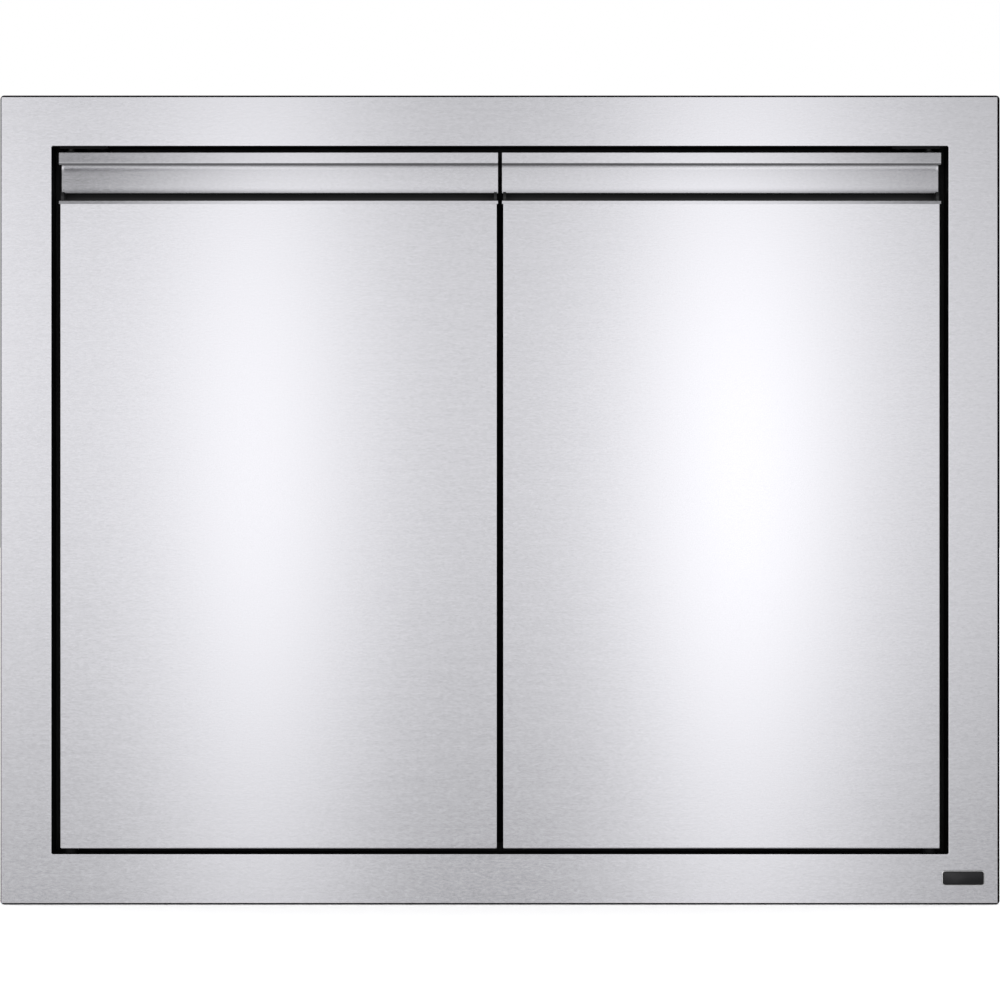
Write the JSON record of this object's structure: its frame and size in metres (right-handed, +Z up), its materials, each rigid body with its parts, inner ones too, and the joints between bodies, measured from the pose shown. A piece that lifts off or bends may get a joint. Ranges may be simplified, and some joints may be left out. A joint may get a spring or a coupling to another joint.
{
  "type": "double access door",
  "caption": "Built-in double access door for an outdoor kitchen island: a face frame on a collar, with two pin-hung doors that open by a recessed top pull.",
  "frame": {"origin": "centre of the door opening, on the plane of the island's wall that the face lies on", "axes": "+X to the right seen from the front, +Y into the island, +Z up"},
  "size_m": [0.838, 0.0607, 0.6784],
  "materials": {
    "stainless_face": "brushed, horizontal grain",
    "stainless_inner": "fine brushed",
    "black_powder_coat": "fine-textured satin powder coat",
    "black_rubber": "matt",
    "black_nylon": "moulded, satin",
    "zinc_steel": "zinc plated",
    "black_oxide": "black oxide",
    "bright_steel": "turned, bright",
    "spring_steel": "drawn wire",
    "ferrite": "sintered, dull",
    "badge_black": "gloss black, thin bright rim"
  },
  "bodies": {
    "frame": {"face_frame": "stainless_face", "jamb_left": "black_powder_coat", "jamb_right": "black_powder_coat", "head_channel": "black_powder_coat", "sill_channel": "black_powder_coat", "stop_left": "black_powder_coat", "stop_right": "black_powder_coat", "stop_head": "black_powder_coat", "stop_sill": "black_powder_coat", "door_gasket": "black_rubber", "upper_pivot_plates": "black_powder_coat", "upper_pivot_pins": "black_oxide", "lower_pivot_plates": "zinc_steel", "lower_pivot_bushings": "black_nylon", "catch_housing": "black_nylon", "catch_magnets": "ferrite", "catch_pole_plates": "bright_steel", "catch_bracket": "black_powder_coat", "catch_screws": "bright_steel", "frame_rivets": "black_oxide", "badge_plate": "badge_black"},
    "left_door": {"left_top_rail": "stainless_face", "left_recess_back": "stainless_face", "left_finger_pocket": "black_nylon", "left_cap_strip": "stainless_face", "left_door_skin": "stainless_face", "left_door_liner": "stainless_inner", "left_stiffener": "zinc_steel", "left_end_caps": "black_nylon", "left_hinge_block": "zinc_steel", "left_pivot_bushings": "black_nylon", "left_lower_bracket": "zinc_steel", "left_strike_plate": "zinc_steel", "left_meeting_seal": "black_rubber", "left_bumpers": "black_rubber", "left_door_rivets": "bright_steel", "left_hinge_screws": "black_oxide", "left_pin_spring": "spring_steel"},
    "left_pin": {"left_release_pin": "bright_steel", "left_release_lever": "zinc_steel"},
    "right_door": {"right_top_rail": "stainless_face", "right_recess_back": "stainless_face", "right_finger_pocket": "black_nylon", "right_cap_strip": "stainless_face", "right_door_skin": "stainless_face", "right_door_liner": "stainless_inner", "right_stiffener": "zinc_steel", "right_end_caps": "black_nylon", "right_hinge_block": "zinc_steel", "right_pivot_bushings": "black_nylon", "right_lower_bracket": "zinc_steel", "right_strike_plate": "zinc_steel", "right_meeting_seal": "black_rubber", "right_bumpers": "black_rubber", "right_door_rivets": "bright_steel", "right_hinge_screws": "black_oxide", "right_pin_spring": "spring_steel"},
    "right_pin": {"right_release_pin": "bright_steel", "right_release_lever": "zinc_steel"}
  },
  "joints": [
    {"name": "left_door_hinge", "type": "hinge", "parent": "frame", "child": "left_door", "pos_m": [-0.36055, -0.0015, 0], "axis": [0, 0, -1], "range_deg": [0, 110]},
    {"name": "right_door_hinge", "type": "hinge", "parent": "frame", "child": "right_door", "pos_m": [0.36055, -0.0015, 0], "axis": [0, 0, 1], "range_deg": [0, 110]},
    {"name": "left_pin_release", "type": "slide", "parent": "left_door", "child": "left_pin", "axis": [0, 0, 1], "range_m": [0, 0.007], "stiffness_N_per_m": 400, "springref_m": -0.008, "deforming": ["left_pin_spring"]},
    {"name": "right_pin_release", "type": "slide", "parent": "right_door", "child": "right_pin", "axis": [0, 0, 1], "range_m": [0, 0.007], "stiffness_N_per_m": 400, "springref_m": -0.008, "deforming": ["right_pin_spring"]}
  ]
}
